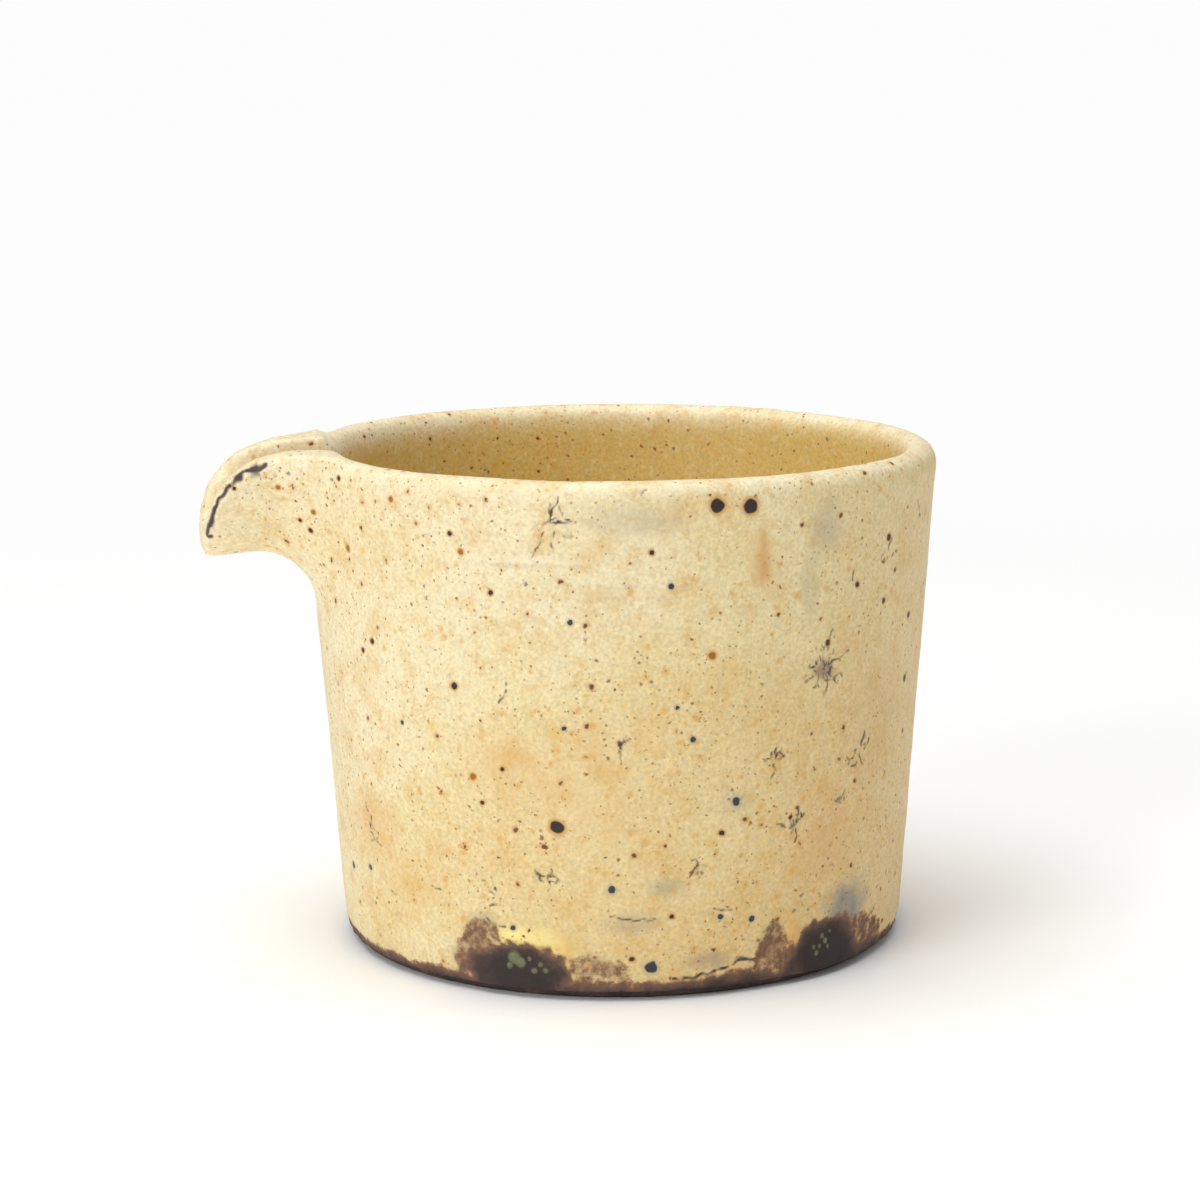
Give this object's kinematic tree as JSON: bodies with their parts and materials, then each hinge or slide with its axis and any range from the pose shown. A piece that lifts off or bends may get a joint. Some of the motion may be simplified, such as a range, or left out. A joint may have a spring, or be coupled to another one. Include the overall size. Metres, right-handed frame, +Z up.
{
  "type": "katakuchi jug",
  "caption": "Small hand-built stoneware jug without a handle: a flaring cup on a flat foot, with one open pouring lip folded from a slab, under a cream glaze that stops above the foot.",
  "frame": {"origin": "centre of the foot's flat underside, on the table", "axes": "+Z up, the pouring lip points along -X"},
  "size_m": [0.1054, 0.0894, 0.0723],
  "materials": {
    "clay": "bare iron-rich stoneware, rough and matte",
    "glaze": "cream glaze over white slip, satin, with iron specks and crackle"
  },
  "bodies": {
    "root": {"base_disc": "clay", "body_wall": "clay", "corner_coil": "clay", "spout": "clay", "spout_joint_coil": "clay", "glaze_coat": "glaze"}
  },
  "joints": []
}
